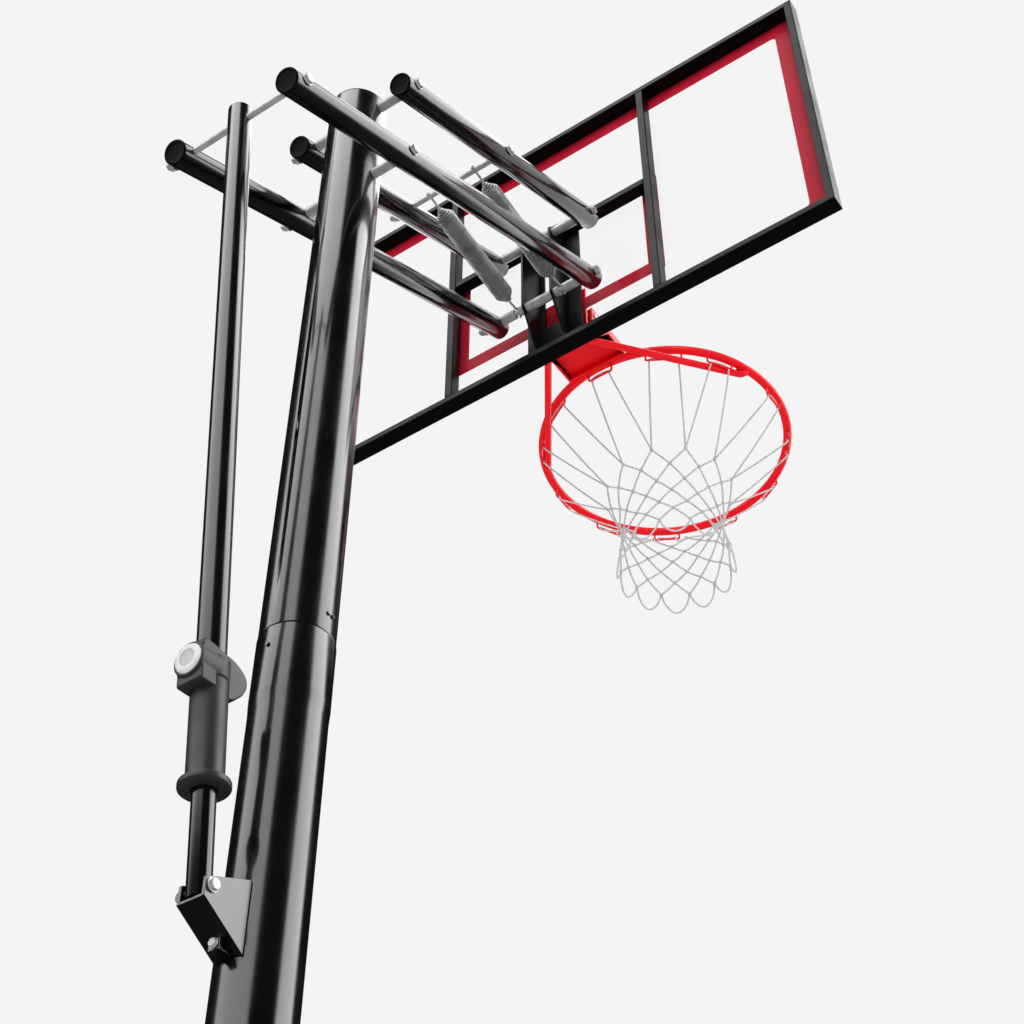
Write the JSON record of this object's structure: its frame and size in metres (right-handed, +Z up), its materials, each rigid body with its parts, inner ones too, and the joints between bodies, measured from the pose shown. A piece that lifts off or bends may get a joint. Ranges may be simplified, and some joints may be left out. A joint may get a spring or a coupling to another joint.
{
  "type": "in-ground basketball hoop",
  "caption": "Round steel pole set in the ground, with parallel arms, a telescoping height lift, coil springs, a clear framed backboard and a breakaway rim with a net.",
  "frame": {"origin": "on the pole's axis at the ground line, where the pole goes into its concrete", "axes": "+Z up the pole, +Y from the pole towards the board and the rim, +X to the right seen from behind the pole"},
  "size_m": [1.1176, 1.4636, 4.1914],
  "materials": {
    "black_paint": "gloss",
    "black_plastic": "satin",
    "frame_moulding": "satin",
    "white_plastic": "gloss",
    "zinc_steel": "zinc plated",
    "spring_steel": "oiled",
    "red_paint": "gloss",
    "net_cord": "woven",
    "clear_panel": "clear"
  },
  "bodies": {
    "pole": {"pole_bottom": "black_paint", "pole_middle": "black_paint", "pole_top": "black_paint", "pole_cap": "black_plastic", "lift_bracket": "black_paint", "bracket_bolt": "zinc_steel", "lift_foot_bolt": "zinc_steel", "lift_foot_nut": "zinc_steel", "upper_pivot_bolt": "zinc_steel", "upper_pivot_nut": "zinc_steel", "lower_pivot_bolt": "zinc_steel", "lower_pivot_nut": "zinc_steel", "upper_spacer_left": "zinc_steel", "upper_spacer_right": "zinc_steel", "lower_spacer_left": "zinc_steel", "lower_spacer_right": "zinc_steel"},
    "lower_arms": {"lower_arm_left": "black_paint", "lower_arm_right": "black_paint", "lower_arm_cap_left": "black_plastic", "lower_arm_cap_right": "black_plastic", "lift_pin_bolt": "zinc_steel", "lift_pin_nut": "zinc_steel"},
    "upper_arms": {"upper_arm_left": "black_paint", "upper_arm_right": "black_paint", "upper_arm_cap_left": "black_plastic", "upper_arm_cap_right": "black_plastic", "spring_anchor_bolt": "zinc_steel", "spring_anchor_nut": "zinc_steel"},
    "board": {"board_bracket": "black_paint", "front_upper_bolt": "zinc_steel", "front_upper_nut": "zinc_steel", "front_lower_bolt": "zinc_steel", "front_lower_nut": "zinc_steel", "backboard_panel": "clear_panel", "frame_bottom": "frame_moulding", "frame_top": "frame_moulding", "frame_left": "frame_moulding", "frame_right": "frame_moulding", "upright_bar_left": "black_paint", "upright_bar_right": "black_paint", "cross_bar": "black_paint", "rim_mount_plate": "red_paint"},
    "rim": {"rim_housing": "red_paint", "rim_ring": "red_paint", "rim_brace_left": "red_paint", "rim_brace_right": "red_paint", "rim_hinge_pin": "zinc_steel", "rim_spring_left": "spring_steel", "rim_spring_right": "spring_steel", "net": "net_cord"},
    "lift_outer": {"lift_outer_tube": "black_paint", "grip_housing": "black_plastic", "grip_sleeve": "black_plastic", "release_spring": "spring_steel"},
    "lift_inner": {"lift_inner_tube": "black_paint"},
    "release_button": {"release_button": "white_plastic"},
    "spring_left": {"spring_left": "spring_steel"},
    "spring_left_foot": {"spring_foot_hook_left": "zinc_steel"},
    "spring_right": {"spring_right": "spring_steel"},
    "spring_right_foot": {"spring_foot_hook_right": "zinc_steel"}
  },
  "joints": [
    {"name": "height", "type": "hinge", "parent": "pole", "child": "lower_arms", "pos_m": [0, 0, 2.73993], "axis": [-1, 0, 0], "range_deg": [0, 61.8]},
    {"name": "upper_arms_turn", "type": "hinge", "parent": "pole", "child": "upper_arms", "pos_m": [0, 0, 2.92493], "axis": [-1, 0, 0], "range_deg": [0, 61.8]},
    {"name": "board_level", "type": "hinge", "parent": "lower_arms", "child": "board", "pos_m": [0, 0.52112, 3.025], "axis": [-1, 0, 0], "range_deg": [-61.8, 0]},
    {"name": "lift_swing", "type": "hinge", "parent": "lower_arms", "child": "lift_outer", "pos_m": [0, -0.23249, 2.61275], "axis": [-1, 0, 0], "range_deg": [-60.2, 0]},
    {"name": "lift_extend", "type": "slide", "parent": "lift_outer", "child": "lift_inner", "axis": [0, 0.1174, -0.9931], "range_m": [0, 0.2697]},
    {"name": "release_press", "type": "slide", "parent": "lift_outer", "child": "release_button", "axis": [0, 0.9931, 0.1174], "range_m": [0, 0.005], "stiffness_N_per_m": 600, "springref_m": -0.004, "deforming": ["release_spring"]},
    {"name": "rim_breakaway", "type": "hinge", "parent": "board", "child": "rim", "pos_m": [0, 0.61202, 3.03], "axis": [-1, 0, 0], "range_deg": [0, 15], "stiffness_Nm_per_rad": 800, "springref_deg": -8.59, "deforming": ["rim_spring_left", "rim_spring_right"]},
    {"name": "spring_left_swing", "type": "hinge", "parent": "upper_arms", "child": "spring_left", "pos_m": [-0.047, 0.25003, 3.06171], "axis": [-1, 0, 0], "range_deg": [-15.8, 0]},
    {"name": "spring_left_stretch", "type": "slide", "parent": "spring_left", "child": "spring_left_foot", "axis": [0, 0.991, -0.1342], "range_m": [0, 0.165], "deforming": ["spring_left"]},
    {"name": "spring_right_swing", "type": "hinge", "parent": "upper_arms", "child": "spring_right", "pos_m": [0.047, 0.25003, 3.06171], "axis": [-1, 0, 0], "range_deg": [-15.8, 0]},
    {"name": "spring_right_stretch", "type": "slide", "parent": "spring_right", "child": "spring_right_foot", "axis": [0, 0.991, -0.1342], "range_m": [0, 0.165], "deforming": ["spring_right"]}
  ],
  "couplings": [
    {"joint": "upper_arms_turn", "follows": "height", "ratio": 1},
    {"joint": "board_level", "follows": "height", "ratio": -1},
    {"joint": "lift_swing", "follows": "height", "ratio": -0.97279},
    {"joint": "lift_extend", "follows": "height", "m_per_rad": 0.24984},
    {"joint": "spring_left_swing", "follows": "height", "ratio": -0.25392},
    {"joint": "spring_left_stretch", "follows": "height", "m_per_rad": 0.1528},
    {"joint": "spring_right_swing", "follows": "height", "ratio": -0.25392},
    {"joint": "spring_right_stretch", "follows": "height", "m_per_rad": 0.1528}
  ]
}
